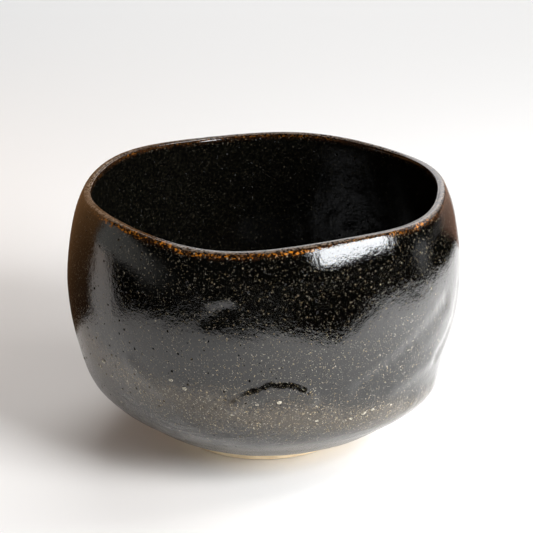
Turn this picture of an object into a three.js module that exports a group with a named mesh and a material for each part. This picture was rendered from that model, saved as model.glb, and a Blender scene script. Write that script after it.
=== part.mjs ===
// A hand-formed tea bowl: a clay body on a separate foot ring, under two coats of glaze.
// Millimetres, +Z up. The origin is on the ground, under the middle of the bowl's plan.
import * as THREE from "three";
import { mergeVertices } from "three/addons/utils/BufferGeometryUtils.js";

// Lip: a round bead, leaning in with the wall below it
const lipRadius = 1.6;
const lipCentreRadius = 56.35;
const lipCentreHeight = 80;
const lipOutsideAngle = 22;
const lipInsideAngle = 190;

// Outside of the glazed wall, from the axis under the floor up to the lip: [radius, height]
const outsideOutline = [
  [0, 5.6],
  [14, 5.2],
  [27, 4.4],
  [34, 4.9],
  [40, 7.2],
  [46.7, 12.2],
  [54.2, 17.6],
  [57.6, 22.8],
  [59.4, 28.4],
  [62.1, 40.5],
  [63.1, 52.7],
  [62.1, 64.8],
  [60.1, 75],
];

// Inside of the glazed wall, from the lip down to the tea pool in the middle of the floor
const insideOutline = [
  [55.4, 75],
  [57.1, 64.8],
  [57.7, 52.7],
  [56.4, 40.5],
  [52.8, 29],
  [46.2, 20],
  [36, 14.6],
  [24, 12.6],
  [15, 12.1],
  [9, 11.2],
  [0, 10.9],
];

// Glaze: its thickness, the clearance under it, and where each coat ends
const glazeThickness = 0.7;
const clearance = 0.3;
const glazeLineRadius = 35;
const innerCoatStart = 0.004;

// Foot ring: stands on the ground and is luted to the underside, a little off the middle
const footOuterRadius = 28.6;
const footInnerRadius = 21;
const footFlare = 0.6;
const footEdge = 0.4;
const footShift = -1.3;

// Hand-formed shape: waves that repeat round the bowl, size in millimetres, bearing in degrees.
// Bearings run from +X towards +Y, so -90 is the front.
const rimPlanWaves = [
  { count: 2, size: 0.7, bearing: 90 },
  { count: 3, size: 0.3, bearing: 3 },
  { count: 4, size: 0.2, bearing: 40 },
  { count: 5, size: 0.15, bearing: 42 },
];
const bellyPlanWaves = [
  { count: 2, size: 0.3, bearing: 80 },
  { count: 3, size: 0.45, bearing: 16 },
  { count: 4, size: 0.55, bearing: 19 },
  { count: 5, size: 0.65, bearing: 33 },
];
const rimHeightWaves = [
  { count: 1, size: 0.35, bearing: 70 },
  { count: 2, size: 0.3, bearing: 4 },
  { count: 3, size: 0.25, bearing: 64 },
  { count: 4, size: 0.25, bearing: 28 },
  { count: 5, size: 0.7, bearing: 4 },
];
const rimLean = -0.95;

// Marks of the hands and the paring knife: half-sizes round and up the wall, and depth
// (a negative depth stands proud)
const handMarks = [
  { bearing: -16, height: 30, halfWidth: 14, halfHeight: 9, depth: 0.5 },
  { bearing: -29, height: 20, halfWidth: 11, halfHeight: 6, depth: -0.7 },
  { bearing: -50, height: 16, halfWidth: 13, halfHeight: 7, depth: -0.3 },
  { bearing: -30, height: 46, halfWidth: 13, halfHeight: 8, depth: -0.5 },
  { bearing: -88, height: 33, halfWidth: 15, halfHeight: 6, depth: -0.5 },
  { bearing: -96, height: 66, halfWidth: 16, halfHeight: 8, depth: 0.6 },
  { bearing: -135, height: 58, halfWidth: 17, halfHeight: 12, depth: 0.5 },
  { bearing: 150, height: 38, halfWidth: 16, halfHeight: 12, depth: -0.5 },
  { bearing: 128, height: 60, halfWidth: 18, halfHeight: 12, depth: 0.7 },
  { bearing: 95, height: 30, halfWidth: 20, halfHeight: 9, depth: 0.8 },
  { bearing: 52, height: 55, halfWidth: 16, halfHeight: 13, depth: 0.6 },
  { bearing: 25, height: 36, halfWidth: 15, halfHeight: 10, depth: -0.4 },
];

// Fineness of the meshes
const sides = 64;
const outsideRows = 17;
const lipRows = 4;
const insideRows = 14;

const degrees = Math.PI / 180;
const onAxis = 1e-6;
const lipHeight = lipCentreHeight + lipRadius;

const glazeBlack = { color: 0x0b0a09, roughness: 0.12, metalness: 0 };
const bareClay = { color: 0xc9b48f, roughness: 0.9, metalness: 0 };

function onBead(angle) {
  const x = lipCentreRadius + lipRadius * Math.cos(angle * degrees);
  const y = lipCentreHeight + lipRadius * Math.sin(angle * degrees);
  return new THREE.Vector2(x, y);
}

const toVectors = (pairs) => pairs.map(([radius, height]) => new THREE.Vector2(radius, height));
const outside = new THREE.SplineCurve([...toVectors(outsideOutline), onBead(lipOutsideAngle)]);
const bead = new THREE.EllipseCurve(lipCentreRadius, lipCentreHeight, lipRadius, lipRadius,
  lipOutsideAngle * degrees, lipInsideAngle * degrees);
const inside = new THREE.SplineCurve([onBead(lipInsideAngle), ...toVectors(insideOutline)]);

// A point of the outline, moved straight into the wall by the inset. The ends stay on the axis.
function insetPoint(curve, along, inset) {
  const point = curve.getPointAt(along);
  const direction = curve.getTangentAt(along);
  const x = point.x > onAxis ? point.x - inset * direction.y : 0;
  return new THREE.Vector2(x, point.y + inset * direction.x);
}

// Rows of points along a curve between two fractions of its length, one layer under the glaze surface
function layer(curve, from, to, rows, inset) {
  const points = [];
  for (let row = 0; row <= rows; row += 1) {
    points.push(insetPoint(curve, from + (to - from) * row / rows, inset));
  }
  return points;
}

// How far along the outside curve, as a fraction of its length, it first reaches a radius
function reaches(radius) {
  const step = 0.001;
  let along = 0;
  while (outside.getPointAt(along).x < radius) {
    along += step;
  }
  return along;
}

function waves(list, bearing) {
  return list.reduce((sum, wave) => {
    return sum + wave.size * Math.cos(wave.count * (bearing - wave.bearing * degrees));
  }, 0);
}

function pressed(bearing, radius, height) {
  return handMarks.reduce((sum, mark) => {
    const turn = bearing - mark.bearing * degrees;
    const around = radius * Math.atan2(Math.sin(turn), Math.cos(turn)) / mark.halfWidth;
    const up = (height - mark.height) / mark.halfHeight;
    return sum + mark.depth * Math.exp(-around * around - up * up);
  }, 0);
}

// Turns a perfect, wheel-true surface into the hand-formed one. Every piece goes through the
// same change, so neighbouring pieces stay parallel.
function handForm(geometry) {
  const place = geometry.attributes.position;
  for (let i = 0; i < place.count; i += 1) {
    const radius = Math.hypot(place.getX(i), place.getY(i));
    const height = place.getZ(i);
    const bearing = Math.atan2(place.getY(i), place.getX(i));
    const rise = Math.max(0, height) / lipHeight;
    const wall = THREE.MathUtils.smoothstep(radius, 12, 46);
    const rim = waves(rimPlanWaves, bearing) * rise ** 1.5;
    const belly = waves(bellyPlanWaves, bearing) * Math.sin(Math.PI * Math.min(rise, 1));
    const formed = radius + wall * (rim + belly - pressed(bearing, radius, height));
    place.setXYZ(
      i,
      formed * Math.cos(bearing) + wall * rimLean * rise,
      formed * Math.sin(bearing),
      height + wall * waves(rimHeightWaves, bearing) * rise ** 2,
    );
  }
}

// Spins an outline about Z and forms it by hand
function thrown(name, outline, look) {
  const geometry = new THREE.LatheGeometry(outline, sides);
  geometry.rotateX(Math.PI / 2);
  geometry.deleteAttribute("normal");
  geometry.deleteAttribute("uv");
  const merged = mergeVertices(geometry);
  handForm(merged);
  merged.computeVertexNormals();
  const mesh = new THREE.Mesh(merged, new THREE.MeshStandardMaterial(look));
  mesh.name = name;
  return mesh;
}

function clayBody() {
  const inset = glazeThickness + clearance;
  return thrown("clay_body", [
    ...layer(outside, 0, 1, outsideRows + 4, inset),
    ...layer(bead, 0, 1, lipRows, inset).slice(1),
    ...layer(inside, 0, 1, insideRows, inset).slice(1),
  ], bareClay);
}

// Outside coat: from the glaze line under the hip, up the wall and over the lip
function outerGlaze() {
  const start = reaches(glazeLineRadius);
  const coat = (inset) => [
    ...layer(outside, start, 1, outsideRows, inset),
    ...layer(bead, 0, 1, lipRows, inset).slice(1),
  ];
  const face = coat(0);
  const back = coat(glazeThickness).reverse();
  return thrown("outer_glaze", [...face, ...back, face[0].clone()], glazeBlack);
}

// Inside coat: from just under the lip down to the middle of the floor
function innerGlaze() {
  const face = layer(inside, innerCoatStart, 1, insideRows, 0);
  const back = layer(inside, innerCoatStart, 1, insideRows, glazeThickness).reverse();
  return thrown("inner_glaze", [...back, ...face], glazeBlack);
}

// Foot ring: flat underneath, its top parallel to the clay that it is joined to
function footRing() {
  const top = (radius) => insetPoint(outside, reaches(radius), glazeThickness).y;
  const innerTop = footInnerRadius - footFlare / 2;
  const outerTop = footOuterRadius + footFlare;
  const outline = toVectors([
    [footInnerRadius + footEdge, 0],
    [footOuterRadius - footEdge, 0],
    [footOuterRadius, footEdge],
    [footOuterRadius + footFlare / 4, top(footOuterRadius) / 2],
    [outerTop, top(outerTop)],
    [(innerTop + outerTop) / 2, top((innerTop + outerTop) / 2)],
    [innerTop, top(innerTop)],
    [footInnerRadius, footEdge],
    [footInnerRadius + footEdge, 0],
  ]);
  const ring = thrown("foot_ring", outline, bareClay);
  ring.position.x = footShift;
  return ring;
}

// Stands the bowl on the ground with the middle of its plan over the origin
function centred(meshes) {
  const group = new THREE.Group();
  group.name = "tea_bowl";
  group.add(...meshes);
  const box = new THREE.Box3().setFromObject(group);
  const middle = box.getCenter(new THREE.Vector3());
  group.position.set(-middle.x, -middle.y, -box.min.z);
  return group;
}

const bowl = centred([clayBody(), footRing(), outerGlaze(), innerGlaze()]);

export default bowl;
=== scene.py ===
# A black-glazed tea bowl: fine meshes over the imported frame, glaze and clay materials, and a small studio
import math

import bpy
import numpy as np
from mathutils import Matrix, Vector


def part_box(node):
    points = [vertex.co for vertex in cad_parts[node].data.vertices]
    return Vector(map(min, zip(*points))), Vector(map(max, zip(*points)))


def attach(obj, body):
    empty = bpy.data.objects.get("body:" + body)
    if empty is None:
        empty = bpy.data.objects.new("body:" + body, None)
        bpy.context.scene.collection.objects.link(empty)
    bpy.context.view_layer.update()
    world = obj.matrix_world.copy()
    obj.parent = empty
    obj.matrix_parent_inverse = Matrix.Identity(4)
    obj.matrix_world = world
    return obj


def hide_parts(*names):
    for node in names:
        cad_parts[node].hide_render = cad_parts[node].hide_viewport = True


mm = 0.001

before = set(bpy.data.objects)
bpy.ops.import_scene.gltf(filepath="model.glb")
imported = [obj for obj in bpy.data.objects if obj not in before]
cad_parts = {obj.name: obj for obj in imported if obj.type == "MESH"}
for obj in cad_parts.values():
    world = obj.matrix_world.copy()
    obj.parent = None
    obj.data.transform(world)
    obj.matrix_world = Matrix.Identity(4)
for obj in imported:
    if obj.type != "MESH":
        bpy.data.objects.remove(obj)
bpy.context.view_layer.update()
root = "root"


# small helpers for work in object and edit mode

def only(piece):
    bpy.ops.object.select_all(action="DESELECT")
    piece.select_set(True)
    bpy.context.view_layer.objects.active = piece


def applyModifier(piece, kind, settings):
    only(piece)
    modifier = piece.modifiers.new(kind.lower(), kind)
    for name, value in settings.items():
        setattr(modifier, name, value)
    bpy.ops.object.modifier_apply(modifier=modifier.name)


def subdivideSmooth(piece, levels):
    applyModifier(piece, "SUBSURF", {"levels": levels, "render_levels": levels})


def points(piece):
    flat = np.empty(len(piece.data.vertices) * 3, np.float32)
    piece.data.vertices.foreach_get("co", flat)
    return flat.reshape(-1, 3)


def bearings(spots):
    return np.degrees(np.arctan2(spots[:, 1], spots[:, 0]))


def turnsFrom(bearing, others):
    # degrees from one bearing round to each of the others, the short way
    return (others - bearing + 180) % 360 - 180


def copyOfNode(node, name):
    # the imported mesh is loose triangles, so the copy is merged and turned back into quads
    only(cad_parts[node])
    bpy.ops.object.duplicate()
    piece = bpy.context.view_layer.objects.active
    piece.name = name
    piece.data.name = name
    for mark in list(piece.keys()):
        del piece[mark]
    only(piece)
    bpy.ops.object.mode_set(mode="EDIT")
    bpy.ops.mesh.select_all(action="SELECT")
    bpy.ops.mesh.remove_doubles(threshold=0.01 * mm)
    bpy.ops.mesh.tris_convert_to_quads(face_threshold=math.pi, shape_threshold=math.pi)
    bpy.ops.object.mode_set(mode="OBJECT")
    return piece


def pickFaces(piece, wanted):
    # leaves the piece in edit mode with just the wanted faces selected
    only(piece)
    bpy.ops.object.mode_set(mode="EDIT")
    bpy.ops.mesh.select_mode(type="FACE")
    bpy.ops.mesh.select_all(action="DESELECT")
    bpy.ops.object.mode_set(mode="OBJECT")
    for face in piece.data.polygons:
        face.select = wanted(face)
    bpy.ops.object.mode_set(mode="EDIT")


def cutFaces(piece, unwanted):
    pickFaces(piece, unwanted)
    bpy.ops.mesh.delete(type="FACE")
    bpy.ops.object.mode_set(mode="OBJECT")


def shaded(piece, material, slot, *nodes):
    piece.data.materials.clear()
    piece.data.materials.append(material)
    only(piece)
    bpy.ops.object.shade_smooth()
    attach(piece, root)
    if nodes:
        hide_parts(*nodes)


# the camera

cameraSet = {
    "distance": 610 * mm,
    "elevation": 20.71,
    "aim": (0.6 * mm, 0.07 * mm, 54.3 * mm),
    "lens": 129.7,
}


def addCamera(made):
    tilt = math.radians(made["elevation"])
    away = Vector((0, -math.cos(tilt), math.sin(tilt))) * made["distance"]
    bpy.ops.object.camera_add(location=Vector(made["aim"]) + away,
                              rotation=(math.pi / 2 - tilt, 0, 0))
    camera = bpy.context.object
    camera.data.lens = made["lens"]
    camera.data.clip_start = 10 * mm
    bpy.context.scene.camera = camera


# what more than one piece uses

def clayDistance(point):
    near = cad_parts["clay_body"].closest_point_on_mesh(point)[1]
    return (near - point).length


def glazeFace(piece):
    # keeps the outward side of a packed coat, which stands farther from the clay than its back does
    backReach = 0.65 * mm
    near = [clayDistance(v.co) < backReach for v in piece.data.vertices]
    cutFaces(piece, lambda face: any(near[v] for v in face.vertices))


def pickRim(piece, wanted):
    # the open edges whose middles are wanted, left selected in edit mode
    only(piece)
    bpy.ops.object.mode_set(mode="EDIT")
    bpy.ops.mesh.select_mode(type="EDGE")
    bpy.ops.mesh.select_all(action="DESELECT")
    bpy.ops.mesh.select_non_manifold(extend=False)
    bpy.ops.object.mode_set(mode="OBJECT")
    spots = piece.data.vertices
    for edge in piece.data.edges:
        if edge.select:
            edge.select = wanted((spots[edge.vertices[0]].co + spots[edge.vertices[1]].co) / 2)
    bpy.ops.object.mode_set(mode="EDIT")


def pullRim(piece, wanted, up, spread):
    # draws an open edge out into one more row of faces
    pickRim(piece, wanted)
    bpy.ops.mesh.extrude_edges_move(TRANSFORM_OT_translate={"value": (0, 0, up)})
    bpy.ops.transform.resize(value=(spread, spread, 1), center_override=(0, 0, 0))
    bpy.ops.object.mode_set(mode="OBJECT")


def press(piece, marks):
    # each mark is a stroke of the thumb: points (bearing, height), reach, and depth (below 0 stands proud)
    wallRadius = 60 * mm
    touches = 8
    only(piece)
    bpy.ops.object.mode_set(mode="EDIT")
    bpy.ops.mesh.select_mode(type="VERT")
    for stroke, reach, depth in marks.values():
        bpy.ops.mesh.select_all(action="DESELECT")
        bpy.ops.object.mode_set(mode="OBJECT")
        spots = points(piece)
        around = bearings(spots)
        picked = set()
        for (fromBearing, fromHeight), (toBearing, toHeight) in zip(stroke, stroke[1:]):
            for step in np.linspace(0, 1, touches):
                turn = turnsFrom(fromBearing + step * (toBearing - fromBearing), around)
                rise = spots[:, 2] - (fromHeight + step * (toHeight - fromHeight)) * mm
                picked.add(int(np.argmin(np.hypot(np.radians(turn) * wallRadius, rise))))
        for spot in picked:
            piece.data.vertices[spot].select = True
        bpy.ops.object.mode_set(mode="EDIT")
        bpy.ops.transform.shrink_fatten(value=-depth * mm, use_proportional_edit=True,
                                        proportional_edit_falloff="SMOOTH", proportional_size=reach * mm)
    bpy.ops.object.mode_set(mode="OBJECT")


def weigh(piece, name, weights):
    # the weights go into the group in ten steps, many vertices at a time
    steps = 10
    group = piece.vertex_groups.new(name=name)
    for level in range(1, steps + 1):
        chosen = np.flatnonzero(np.round(weights * steps) == level)
        group.add(chosen.tolist(), level / steps, "REPLACE")
    return name


def roughen(piece, size, strength, group="", stretch=(1, 1, 1)):
    # a soft noise pushed along the normals; stretch above 1 draws the pattern out along that axis
    clouds = bpy.data.textures.new(piece.name, "CLOUDS")
    clouds.noise_scale = size * mm
    clouds.noise_depth = 2
    bpy.ops.object.empty_add(location=(0, 0, 0))
    ruler = bpy.context.object
    ruler.scale = stretch
    bpy.context.view_layer.update()
    applyModifier(piece, "DISPLACE", {
        "texture": clouds, "strength": strength * mm, "mid_level": 0.5, "vertex_group": group,
        "texture_coords": "OBJECT", "texture_coords_object": ruler})
    bpy.data.objects.remove(ruler)


def smoothstep(low, high, values):
    part = np.clip((values - low) / (high - low), 0, 1)
    return part * part * (3 - 2 * part)


def lipRidge(bearing):
    # height of the lip at each bearing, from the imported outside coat
    spacing = 6
    reach = 4
    spots = points(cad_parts["outer_glaze"])
    around = bearings(spots)
    middles = np.arange(-180, 181, spacing)
    tops = [spots[np.abs(turnsFrom(m, around)) < reach, 2].max() for m in middles]
    return np.interp(bearing, middles, tops)


def noteDepth(piece):
    # lipDepth is the distance below the lip, which the glaze materials follow
    spots = points(piece)
    depth = lipRidge(bearings(spots)) - spots[:, 2]
    layer = piece.data.attributes.new("lipDepth", "FLOAT", "POINT")
    layer.data.foreach_set("value", depth.astype(np.float32))


def thicken(piece, thickness, keep):
    # gives a coat its back, then thins the mesh of the back, which nothing shows
    piece.vertex_groups.new(name="back")
    applyModifier(piece, "SOLIDIFY", {"thickness": thickness, "offset": -1,
                                      "shell_vertex_group": "back", "use_quality_normals": True})
    applyModifier(piece, "DECIMATE", {"ratio": keep, "vertex_group": "back"})
    piece.vertex_groups.clear()


# the outside coat of glaze; pairs such as pebble are the size and strength of a rough skin, in millimetres

outerGlaze = {
    "thickness": 0.7 * mm,
    "tuckAbove": 70 * mm,
    "tuckDown": -1.8 * mm,
    "tuckOut": 1.0075,
    "smoothing": 3,
    "backDetail": 0.55,
    "lowFade": (34 * mm, 20 * mm),
    "wallFade": (84 * mm, 74 * mm),
    "handNoise": (17, 0.30),
    "pebble": (2.0, 0.05),
    "lowPebble": (1.3, 0.12),
    "scrape": (2.2, 0.22),
    "scrapeStretch": (9, 9, 1),
    "marks": {
        "browBody": ([(-104, 31), (-90, 34), (-74, 30)], 8, -0.45),
        "browEdge": ([(-99, 33.5), (-94, 37.4), (-88, 40), (-82, 39.2), (-77, 35.5)], 3.3, -0.9),
        "leftFold": ([(-130, 41), (-119, 35)], 4.5, -0.5),
        "dimple": ([(-105, 61), (-100, 64)], 4, 0.15),
        "dimpleEdge": ([(-104, 66.5), (-99, 67.5)], 3, -0.12),
        "rightCrease": ([(-28, 54), (-42, 48), (-62, 37)], 5, 0.6),
        "rightPad": ([(-36, 38), (-50, 34)], 6, -0.5),
        "rightFold": ([(-14, 53), (-20, 45), (-30, 37)], 4, 0.3),
        "knob": ([(-22, 22), (-38, 24)], 6, -0.5),
    },
}


def makeOuterGlaze(made):
    piece = copyOfNode("outer_glaze", "outerGlaze")
    glazeFace(piece)
    pullRim(piece, lambda spot: spot.z > made["tuckAbove"], made["tuckDown"], made["tuckOut"])
    subdivideSmooth(piece, made["smoothing"])
    press(piece, made["marks"])
    height = points(piece)[:, 2]
    low = weigh(piece, "low", smoothstep(*made["lowFade"], height))
    wall = weigh(piece, "wall", smoothstep(*made["wallFade"], height))
    roughen(piece, *made["handNoise"], group=wall)
    roughen(piece, *made["pebble"])
    roughen(piece, *made["lowPebble"], group=low)
    roughen(piece, *made["scrape"], group=low, stretch=made["scrapeStretch"])
    noteDepth(piece)
    thicken(piece, made["thickness"], made["backDetail"])
    return piece


# coarse grains of stone that came through the glaze: bearing in degrees, height and size in millimetres

stones = {
    "at": [
        (-144, 37, 1.0), (-147, 34, 0.8), (-163, 30, 0.6), (-141, 33, 0.5), (-116, 40, 0.7), (-112, 38, 0.8),
        (-92, 35, 0.6), (-86, 35.5, 0.7), (-75, 27.5, 0.6), (-64, 26, 0.6), (-60, 27, 0.8), (-57, 27.5, 0.7),
        (-140, 24, 0.5), (-50, 27, 0.5), (-99, 31, 0.5), (150, 33, 0.7), (110, 28, 0.8), (40, 31, 0.6),
    ],
    "shape": (1, 0.75, 0.36),
    "lumps": (0.7, 0.25),
    "pale": (0.42, 0.39, 0.31, 1),
    "dark": (0.12, 0.11, 0.09, 1),
}


def makeStones(made, coat):
    # each grain is dropped straight in from outside the wall, and lies flat where it meets the coat
    outsideWall = 90
    bpy.ops.object.select_all(action="DESELECT")
    grains = []
    for bearing, height, size in made["at"]:
        out = Vector((math.cos(math.radians(bearing)), math.sin(math.radians(bearing)), 0))
        start = out * outsideWall * mm + Vector((0, 0, height * mm))
        spot, normal = coat.ray_cast(start, -out)[1:3]
        bpy.ops.mesh.primitive_ico_sphere_add(subdivisions=4, radius=size * mm, location=spot,
                                              rotation=normal.to_track_quat("Z", "Y").to_euler())
        grain = bpy.context.object
        grain.scale = made["shape"]
        grains.append(grain)
    for grain in grains:
        grain.select_set(True)
    bpy.ops.object.join()
    piece = bpy.context.object
    piece.name = "stones"
    bpy.ops.object.transform_apply(location=True, rotation=True, scale=True)
    roughen(piece, *made["lumps"])
    return piece


# the inside coat of glaze

innerGlaze = {
    "thickness": 0.7 * mm,
    "tuckUp": 2.0 * mm,
    "tuckOut": 1.004,
    "smoothing": 3,
    "backDetail": 0.75,
    "handNoise": (14, 0.4),
    "pebble": (2.4, 0.06),
}


def makeInnerGlaze(made):
    piece = copyOfNode("inner_glaze", "innerGlaze")
    glazeFace(piece)
    pullRim(piece, lambda spot: True, made["tuckUp"], made["tuckOut"])
    subdivideSmooth(piece, made["smoothing"])
    roughen(piece, *made["handNoise"])
    roughen(piece, *made["pebble"])
    noteDepth(piece)
    thicken(piece, made["thickness"], made["backDetail"])
    return piece


# the clay body, rough only underneath, where it is bare

clayBody = {
    "smoothing": 2,
    "underFade": (16 * mm, 10 * mm),
    "grit": (1.1, 0.10),
    "hand": (11, 0.25),
}


def makeClay(made):
    piece = copyOfNode("clay_body", "clayBody")
    subdivideSmooth(piece, made["smoothing"])
    under = weigh(piece, "under", smoothstep(*made["underFade"], points(piece)[:, 2]))
    roughen(piece, *made["hand"], group=under)
    roughen(piece, *made["grit"], group=under)
    return piece


# the foot ring; its section starts at the inner edge that rests on the floor: radius and height

footRing = {
    "sides": 128,
    "section": [(21.5, 0), (24.8, 0), (28.1, 0), (28.65, 0.5), (28.8, 2.4), (29.2, 4.2), (31.0, 5.6),
                (25, 7.0), (20.2, 6.6), (20.6, 4.4), (21.0, 2.4), (21.05, 0.5)],
    "smoothing": 2,
    "sideFade": (0.2 * mm, 1.2 * mm),
    "grit": (0.9, 0.10),
    "paring": (1.4, 0.20),
    "paringStretch": (8, 8, 1),
}


def makeFoot(made):
    low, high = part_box("foot_ring")
    middle = ((low.x + high.x) / 2, (low.y + high.y) / 2, 0)
    section = [(radius * mm, height * mm) for radius, height in made["section"]]
    bpy.ops.object.select_all(action="DESELECT")
    bpy.ops.mesh.primitive_circle_add(vertices=made["sides"], radius=section[0][0], location=middle)
    piece = bpy.context.object
    piece.name = "footRing"
    bpy.ops.object.mode_set(mode="EDIT")
    for (radius, height), (nextRadius, nextHeight) in zip(section, section[1:]):
        bpy.ops.mesh.extrude_edges_move(TRANSFORM_OT_translate={"value": (0, 0, nextHeight - height)})
        ratio = nextRadius / radius
        bpy.ops.transform.resize(value=(ratio, ratio, 1), center_override=middle)
    bpy.ops.mesh.select_mode(type="EDGE")
    bpy.ops.mesh.select_all(action="DESELECT")
    bpy.ops.mesh.select_non_manifold(extend=False)
    bpy.ops.mesh.bridge_edge_loops()
    bpy.ops.mesh.select_all(action="SELECT")
    bpy.ops.mesh.normals_make_consistent(inside=False)
    bpy.ops.object.mode_set(mode="OBJECT")
    bpy.ops.object.transform_apply(location=True, rotation=True, scale=True)
    subdivideSmooth(piece, made["smoothing"])
    side = weigh(piece, "side", smoothstep(*made["sideFade"], points(piece)[:, 2]))
    roughen(piece, *made["paring"], group=side, stretch=made["paringStretch"])
    roughen(piece, *made["grit"], group=side)
    return piece


# materials

def put(tree, kind, inputs, **settings):
    node = tree.nodes.new("ShaderNode" + kind)
    for name, value in settings.items():
        setattr(node, name, value)
    for name, value in inputs.items():
        if isinstance(value, bpy.types.NodeSocket):
            tree.links.new(value, node.inputs[name])
        else:
            node.inputs[name].default_value = value
    return node


def maths(tree, operation, first, second):
    return put(tree, "Math", {0: first, 1: second}, operation=operation).outputs[0]


def plus(tree, first, second):
    return maths(tree, "ADD", first, second)


def minus(tree, first, second):
    return maths(tree, "SUBTRACT", first, second)


def times(tree, first, second):
    return maths(tree, "MULTIPLY", first, second)


def fade(tree, value, low, high, to=1.0):
    # 0 at low, rising softly to the given height at high
    inputs = {"Value": value, "From Min": low, "From Max": high, "To Min": 0.0, "To Max": to}
    return put(tree, "MapRange", inputs, interpolation_type="SMOOTHSTEP").outputs[0]


def blendColour(tree, amount, first, second):
    inputs = {0: amount, 6: first, 7: second}
    return put(tree, "Mix", inputs, data_type="RGBA").outputs[2]


def noise(tree, place, size, detail=2.0, rough=0.5):
    inputs = {"Vector": place, "Scale": 1 / (size * mm), "Detail": detail, "Roughness": rough}
    return put(tree, "TexNoise", inputs).outputs["Fac"]


def startMaterial(name):
    material = bpy.data.materials.new(name)
    material.use_nodes = True
    tree = material.node_tree
    place = tree.nodes.new("ShaderNodeTexCoord").outputs["Object"]
    return material, tree, place, tree.nodes["Principled BSDF"]


def plainMaterial(name, colour, roughness):
    material = startMaterial(name)[0]
    shader = material.node_tree.nodes["Principled BSDF"]
    shader.inputs["Specular IOR Level"].default_value = 0
    shader.inputs["Base Color"].default_value = (*colour, 1)
    shader.inputs["Roughness"].default_value = roughness
    return material


def specks(tree, place, spacing, radius, share):
    # round grains one to a cell, in a share of the cells; gives the mask and a random number per grain
    softness = 0.12
    cells = put(tree, "TexVoronoi", {"Vector": place, "Scale": 1 / (spacing * mm)})
    chance = put(tree, "SeparateColor", {"Color": cells.outputs["Color"]})
    reach = times(tree, chance.outputs["Green"], radius / spacing)
    grain = fade(tree, minus(tree, reach, cells.outputs["Distance"]), 0.0, softness)
    present = maths(tree, "LESS_THAN", chance.outputs["Red"], share)
    return times(tree, grain, present), chance.outputs["Blue"]


# lip values are millimetres below the lip, levels are millimetres of height, and shares run from 0 to 1
glazeLook = {
    "black": (0.0008, 0.0007, 0.0006, 1),
    "haze": (0.0016, 0.0014, 0.0010, 1),
    "deep": (0.0085, 0.0080, 0.0050, 1),
    "grain": (0.46, 0.43, 0.35, 1),
    "goldGrain": (0.38, 0.30, 0.17, 1),
    "amber": (0.36, 0.125, 0.010, 1),
    "rust": (0.035, 0.014, 0.005, 1),
    # the pale of the thinner glaze on the lip ridge, partly a painted highlight of the lip's shine
    "thinGlazeAndSheen": (0.26, 0.21, 0.165, 1),
    "ashBand": (0.060, 0.048, 0.034, 1),
    # the hip is paler partly for the dry scraped glaze and partly as painted reflection of the bright floor
    "hip": (0.080, 0.078, 0.075, 1),
    "scraped": (0.025, 0.024, 0.023, 1),
    "lipRust": (2.6, 0.8),
    "lipAmber": (0.3, 0.7, 1.2, 1.7),
    "lipThinAndSheen": (0.55, 0.2),
    "ashLevels": (20, 27, 31, 38),
    "hipLevels": (27, 15),
    "slant": 0.17,
    "wander": 14,
    "scatter": 24,
    "fleckSize": 0.50,
    "fleckShare": 0.45,
    "lowFleckShare": 0.45,
    "lowFleckLevels": (62, 45),
    "insideShare": 0.25,
    "grains": ((0.80, 0.36, 0.50, 0.16), (1.6, 0.42, 0.50, 0.45)),
    "ripples": ((1.3, 2.0, 1.0), (0.55, 2.0, 0.6), (0.30, 1.0, 0.4)),
    "rippleHeight": 0.05,
    "pinholes": (1.5, 0.50, 0.45),
    "pinholeDepth": 0.15,
    "outsideRoughness": 0.05,
    "bandRoughness": 0.10,
    "hipRoughness": 0.22,
    "insideRoughness": 0.09,
    "refraction": 1.68,
}


def fadeOver(tree, value, levels, to=1.0):
    # as fade, between two levels in millimetres
    low, high = levels
    return fade(tree, value, low * mm, high * mm, to)


def lipColours(tree, place, look, colour, fine, broad, amberShare):
    # over the lip the glaze is thinner: rust, amber spots just under the edge, and a pale line along the
    # ridge that is partly the thinner glaze and partly a painted highlight
    depth = put(tree, "Attribute", {}, attribute_name="lipDepth").outputs["Fac"]
    ragged = times(tree, noise(tree, place, 2.2, 3.0, 0.6), 2.2 * mm)
    edge = minus(tree, depth, minus(tree, ragged, 1.1 * mm))
    rust = times(tree, fadeOver(tree, edge, look["lipRust"]), fade(tree, fine, 0.40, 0.62))
    colour = blendColour(tree, rust, colour, look["rust"])
    start, full, last, end = look["lipAmber"]
    strip = times(tree, fadeOver(tree, edge, (start, full)), fadeOver(tree, edge, (end, last)))
    patch = fade(tree, noise(tree, place, 0.95, 3.0, 0.7), 0.50, 0.59)
    patch = times(tree, patch, fade(tree, broad, 0.36, 0.56))
    patch = times(tree, patch, amberShare)
    colour = blendColour(tree, times(tree, strip, patch), colour, look["amber"])
    # painted highlight: the pale line along the ridge stands in for the shine of the lip as well as the
    # thinner glaze
    ridge = times(tree, fadeOver(tree, depth, look["lipThinAndSheen"]), fade(tree, fine, 0.40, 0.58))
    return blendColour(tree, times(tree, ridge, 0.5), colour, look["thinGlazeAndSheen"])


def lowMasks(tree, spot, look, fine, broad):
    # masks of the slanting, ashy band above the hip and of the scraped, paler skin below it, whose paleness
    # is partly painted reflection
    wander = times(tree, minus(tree, broad, 0.5), look["wander"] * mm)
    slant = plus(tree, times(tree, spot.outputs["X"], look["slant"]), wander)
    level = plus(tree, spot.outputs["Z"], slant)
    scatter = plus(tree, level, times(tree, minus(tree, fine, 0.5), look["scatter"] * mm))
    start, full, last, end = look["ashLevels"]
    band = times(tree, fadeOver(tree, scatter, (start, full)), fadeOver(tree, scatter, (end, last)))
    return band, fadeOver(tree, scatter, look["hipLevels"])


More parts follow.
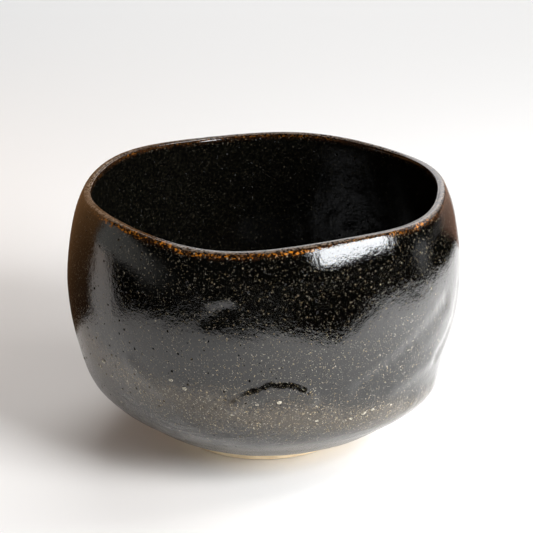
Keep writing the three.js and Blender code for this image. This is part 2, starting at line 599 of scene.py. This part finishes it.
def scrapedSkinAndSheen(tree, place, look):
    # streaks that run round the bowl, laid over the hip colour, which is partly dry scraped glaze and partly
    # painted reflection of the bright floor
    drawn = put(tree, "VectorMath", {0: place, 1: (0.2, 0.2, 1.5)}, operation="MULTIPLY").outputs[0]
    streaks = fade(tree, noise(tree, drawn, 1.2, 3.0, 0.6), 0.42, 0.62)
    return blendColour(tree, streaks, look["hip"], look["scraped"])


def fleckMask(tree, place, look, extra):
    flecks = plus(tree, noise(tree, place, look["fleckSize"], 3.0, 0.8), extra)
    broken = fade(tree, noise(tree, place, 0.75, 1.0), 0.44, 0.54)
    return times(tree, fade(tree, flecks, 0.585, 0.645), broken)


def speckled(tree, place, look, colour, flecks, shown, low):
    # pale flecks lie all through the glaze, with fewer, larger grains among them
    veil = fade(tree, noise(tree, place, 1.9, 2.0), 0.34, 0.62, look["fleckShare"] * shown)
    veil = plus(tree, veil, low)
    tint = fade(tree, noise(tree, place, 1.1), 0.40, 0.60)
    fleckColour = blendColour(tree, tint, look["grain"], look["goldGrain"])
    colour = blendColour(tree, times(tree, flecks, veil), colour, fleckColour)
    for spacing, radius, share, strength in look["grains"]:
        grain, tint = specks(tree, place, spacing, radius, share)
        veil = fade(tree, noise(tree, place, 1.6, 1.0), 0.35, 0.65, strength * shown)
        grainColour = blendColour(tree, tint, look["grain"], look["goldGrain"])
        colour = blendColour(tree, times(tree, grain, veil), colour, grainColour)
    return colour


def glazeSkin(tree, place, look, holes):
    # small waves with finer ripples on them, and pinholes
    waves = 0.0
    for size, detail, height in look["ripples"]:
        waves = plus(tree, waves, times(tree, noise(tree, place, size, detail), height))
    waves = put(tree, "Bump", {"Height": waves, "Distance": look["rippleHeight"] * mm}).outputs["Normal"]
    pits = {"Height": holes, "Distance": -look["pinholeDepth"] * mm, "Normal": waves}
    return put(tree, "Bump", pits).outputs["Normal"]


def glazeMaterial(name, look, outside):
    material, tree, place, shader = startMaterial(name)
    spot = put(tree, "SeparateXYZ", {"Vector": place})
    fine = noise(tree, place, 0.8, 4.0, 0.7)
    broad = noise(tree, place, 15, 2.0)
    holes = specks(tree, place, *look["pinholes"])[0]
    shown = 1.0 if outside else look["insideShare"]
    mist = look["haze" if outside else "deep"]
    colour = blendColour(tree, fade(tree, fine, 0.45, 0.75), look["black"], mist)
    # the outside coat has its amber spots on the near side
    amberShare = fade(tree, spot.outputs["Y"], -22 * mm, -38 * mm) if outside else 0.25
    colour = lipColours(tree, place, look, colour, fine, broad, amberShare)
    more = 0.0
    low = 0.0
    if outside:
        band, hip = lowMasks(tree, spot, look, fine, broad)
        colour = blendColour(tree, times(tree, band, 0.7), colour, look["ashBand"])
        colour = blendColour(tree, hip, colour, scrapedSkinAndSheen(tree, place, look))
        more = times(tree, band, 0.035)
        low = fadeOver(tree, spot.outputs["Z"], look["lowFleckLevels"], look["lowFleckShare"])
        holes = times(tree, holes, fade(tree, spot.outputs["X"], 30 * mm, -10 * mm))
        dry = plus(tree, times(tree, band, look["bandRoughness"]), times(tree, hip, look["hipRoughness"]))
        tree.links.new(plus(tree, dry, look["outsideRoughness"]), shader.inputs["Roughness"])
    else:
        shader.inputs["Roughness"].default_value = look["insideRoughness"]
    flecks = fleckMask(tree, place, look, more)
    colour = speckled(tree, place, look, colour, flecks, shown, low)
    tree.links.new(colour, shader.inputs["Base Color"])
    tree.links.new(glazeSkin(tree, place, look, holes), shader.inputs["Normal"])
    # the shine is lost where a fleck or a pinhole breaks the skin
    dull = put(tree, "Clamp", {"Value": plus(tree, times(tree, flecks, 0.6), holes)}).outputs[0]
    shine = times(tree, minus(tree, 1.0, dull), 0.5)
    tree.links.new(shine, shader.inputs["Specular IOR Level"])
    shader.inputs["IOR"].default_value = look["refraction"]
    return material


def stoneMaterial(name, look):
    material, tree, place, shader = startMaterial(name)
    mottle = fade(tree, noise(tree, place, 0.5, 3.0, 0.7), 0.40, 0.60)
    tree.links.new(blendColour(tree, mottle, look["dark"], look["pale"]), shader.inputs["Base Color"])
    shader.inputs["Roughness"].default_value = 0.25
    return material


clayLook = {
    "body": (0.72, 0.58, 0.39, 1),
    "pale": (0.84, 0.72, 0.52, 1),
    "burnt": (0.30, 0.19, 0.11, 1),
    "grit": (0.20, 0.12, 0.07, 1),
}


def clayMaterial(name, look):
    material, tree, place, shader = startMaterial(name)
    cloudy = fade(tree, noise(tree, place, 6, 4.0), 0.35, 0.65)
    scorched = fade(tree, noise(tree, place, 13, 3.0), 0.58, 0.75, 0.5)
    grit = times(tree, specks(tree, place, 1.4, 0.5, 0.3)[0], 0.7)
    colour = blendColour(tree, cloudy, look["body"], look["pale"])
    colour = blendColour(tree, scorched, colour, look["burnt"])
    colour = blendColour(tree, grit, colour, look["grit"])
    tree.links.new(colour, shader.inputs["Base Color"])
    sand = plus(tree, noise(tree, place, 0.35, 3.0, 0.7), noise(tree, place, 1.6, 2.0))
    bump = put(tree, "Bump", {"Height": sand, "Distance": 0.12 * mm, "Strength": 0.8})
    tree.links.new(bump.outputs["Normal"], shader.inputs["Normal"])
    shader.inputs["Roughness"].default_value = 0.88
    return material


# the room is white to the eye, dim to the floor and dark to the glaze
studio = {
    "floorSide": 8.0,
    "floorColour": (0.86, 0.855, 0.85),
    "seen": (0.93, 0.93, 0.93, 1),
    "ambient": (0.140, 0.140, 0.142, 1),
    "dark": (0.006, 0.006, 0.0055, 1),
}

# painted reflections: the black cards paint the dark room in front of the bowl into the glaze, and the
# glowing cards paint a wooden box, walls and a door
# cards that only the glaze sees: black ones lie on the floor, each with its middle, size and turn,
# and glowing ones stand, each with its lower middle, size, turn, and its colour low down and high up
lyingCards = {
    "blackFront": ((0, -1.45), (5.0, 2.0), 0),
    "blackFrontRight": ((1.05, -1.366), (2.3, 2.0), -11),
    "blackRight": ((1.533, -0.934), (2.3, 2.0), 12),
    "blackEast": ((1.33, 0.128), (2.0, 0.28), 11),
    "blackNorthEast": ((1.241, 0.07), (2.0, 1.0), -33),
    "blackLeft": ((-1.43, -0.727), (2.0, 2.0), -15),
}
standingCards = {
    # the wooden box card is nearly black at its foot: painted shade
    "woodenBox": ((-0.095, 0.057, 0), (0.153, 0.16), 24, (0.04, 0.02, 0.01), (0.50, 0.25, 0.10)),
    "whiteWall": ((-0.05, 1.1, 0), (1.1, 0.9), 0, (0.9, 0.9, 0.9), (2.4, 2.4, 2.5)),
    "highWall": ((0.75, 0.85, 0.33), (1.3, 0.6), -40, (0.9, 0.9, 0.92), (0.9, 0.9, 0.92)),
    "rosyWall": ((0.28, 0.257, 0), (0.40, 0.10), 27, (0.30, 0.17, 0.12), (0.66, 0.45, 0.36)),
    "paleDoor": ((0.46, 0.075, 0), (0.066, 0.10), -75, (0.6, 0.6, 0.6), (0.55, 0.56, 0.58)),
}
# the dim room card is a painted reflection of the room at the front left
# this one runs from dark at its far end to pale at its near end
fadingCards = {
    "dimRoom": ((-0.80, -0.35, 0), (1.2, 0.26), 65, (0.02, 0.02, 0.02), (0.42, 0.41, 0.38)),
}

# soft lights: place, what they point at, size, power, colour, and whether the glaze sees them
lights = {
    "window": ((0.88, -0.572, 0.565), (0, 0, 0), (1.05, 0.42), 21, (0.94, 0.97, 1), True),
    "key": ((0.485, -0.395, 0.37), (0.05, 0, 0), (0.34, 0.34), 8.1, (1, 1, 1), False),
    "rightFill": ((0.205, 0.01, 0.16), (0.205, 0.01, 0), (0.12, 0.12), 0.64, (1, 1, 1), False),
    "footFill": ((0.24, -0.60, 0.07), (0, -0.03, 0.004), (0.20, 0.08), 1.1, (1, 0.97, 0.92), False),
    "farFill": ((0.1, 1.0, 1.1), (0.1, 0.75, 0), (1.0, 1.0), 12, (1, 1, 1), False),
    "warmFill": ((-0.42, 0.20, 0.20), (-0.1, -0.05, 0), (0.25, 0.25), 0.35, (1, 0.60, 0.32), False),
}


def addPlane(name, size, location, rotation=(0, 0, 0)):
    bpy.ops.mesh.primitive_plane_add(size=1, location=location, rotation=rotation)
    plane = bpy.context.object
    plane.name = name
    plane.scale = (size[0], size[1], 1)
    bpy.ops.object.transform_apply(location=False, rotation=False, scale=True)
    return plane


def addCard(name, size, location, rotation, low, high):
    # the glow runs from the low to the high colour up the card
    card = addPlane(name, size, location, rotation)
    material, tree, place, shader = startMaterial(name)
    height = put(tree, "SeparateXYZ", {"Vector": place}).outputs["Y"]
    colour = blendColour(tree, fade(tree, height, -size[1] / 2, size[1] / 2), (*low, 1), (*high, 1))
    tree.links.new(colour, shader.inputs["Emission Color"])
    shader.inputs["Emission Strength"].default_value = 1
    shader.inputs["Base Color"].default_value = (0, 0, 0, 1)
    shader.inputs["Specular IOR Level"].default_value = 0
    card.data.materials.append(material)
    card.visible_camera = False
    card.visible_diffuse = False
    card.visible_shadow = False


def addWorld(made):
    # the eye, the floor and the glaze each see their own shade of the room
    world = bpy.data.worlds.new("room")
    bpy.context.scene.world = world
    world.use_nodes = True
    tree = world.node_tree
    path = tree.nodes.new("ShaderNodeLightPath").outputs
    shade = blendColour(tree, path["Is Camera Ray"], made["ambient"], made["seen"])
    shade = blendColour(tree, path["Is Glossy Ray"], shade, made["dark"])
    tree.links.new(shade, tree.nodes["Background"].inputs["Color"])


def addStudio(made):
    floor = addPlane("floor", (made["floorSide"], made["floorSide"]), (0, 0, 0))
    floor.data.materials.append(plainMaterial("paleFloor", made["floorColour"], 0.9))
    black = (0, 0, 0)
    for name, (middle, size, turn) in lyingCards.items():
        addCard(name, size, (*middle, 0.5 * mm), (0, 0, math.radians(turn)), black, black)
    for name, ((x, y, z), size, turn, low, high) in standingCards.items():
        addCard(name, size, (x, y, z + size[1] / 2), (math.pi / 2, 0, math.radians(turn)), low, high)
    for name, ((x, y, z), (width, height), turn, low, high) in fadingCards.items():
        onItsSide = (math.pi / 2, math.pi / 2, math.radians(turn))
        addCard(name, (height, width), (x, y, z + height / 2), onItsSide, low, high)


def addLight(name, place, aim, size, power, colour, inGlaze):
    bpy.ops.object.light_add(type="AREA", location=place)
    light = bpy.context.object
    light.name = name
    light.rotation_euler = (Vector(place) - Vector(aim)).to_track_quat("Z", "Y").to_euler()
    light.data.shape = "RECTANGLE"
    light.data.size, light.data.size_y = size
    light.data.energy = power
    light.data.color = colour
    light.visible_camera = False
    light.visible_diffuse = not inGlaze
    light.visible_glossy = inGlaze


bpy.context.scene.view_settings.view_transform = "Standard"
addCamera(cameraSet)
addWorld(studio)
addStudio(studio)
for name, made in lights.items():
    addLight(name, *made)
print("studio set")

coat = makeOuterGlaze(outerGlaze)
shaded(coat, glazeMaterial("outerGlaze", glazeLook, True), "outer_glaze", "outer_glaze")
print("outside coat done")
shaded(makeStones(stones, coat), stoneMaterial("stone", stones), "outer_glaze")
print("stones done")
inside = makeInnerGlaze(innerGlaze)
shaded(inside, glazeMaterial("innerGlaze", glazeLook, False), "inner_glaze", "inner_glaze")
print("inside coat done")
clay = clayMaterial("bareClay", clayLook)
shaded(makeClay(clayBody), clay, "fired_clay", "clay_body")
shaded(makeFoot(footRing), clay, "foot_clay", "foot_ring")
print("clay done")
